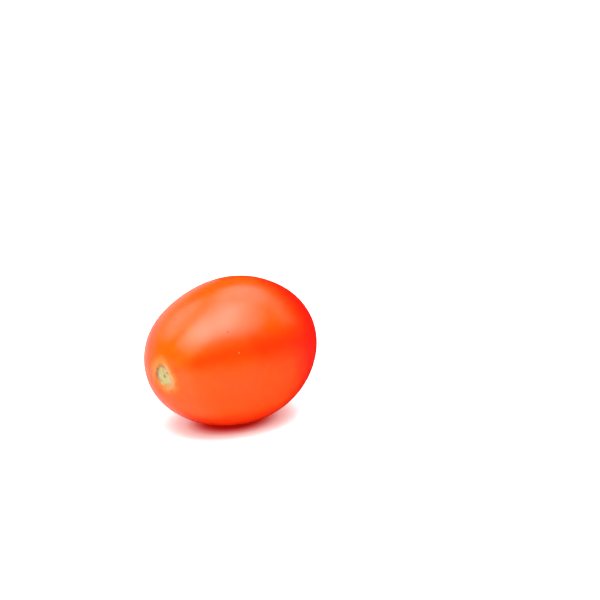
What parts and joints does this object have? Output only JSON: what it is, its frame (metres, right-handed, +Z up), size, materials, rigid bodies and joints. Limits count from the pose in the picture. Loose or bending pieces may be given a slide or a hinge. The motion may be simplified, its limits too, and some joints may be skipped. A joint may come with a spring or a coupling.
{
  "type": "plum tomato",
  "caption": "Ripe plum tomato, picked, with a corky stem scar at one end, lying on its side on a small flat spot.",
  "frame": {"origin": "the middle of the fruit's bounding box, at its bottom, on the plane of the flat spot it rests on", "axes": "+X along the fruit from the stem scar to the blossom end, +Z up"},
  "size_m": [0.0694, 0.052, 0.0516],
  "materials": {
    "skin": "smooth waxy tomato skin, orange-red, glossy"
  },
  "bodies": {
    "root": {"tomato": "skin"}
  },
  "joints": []
}
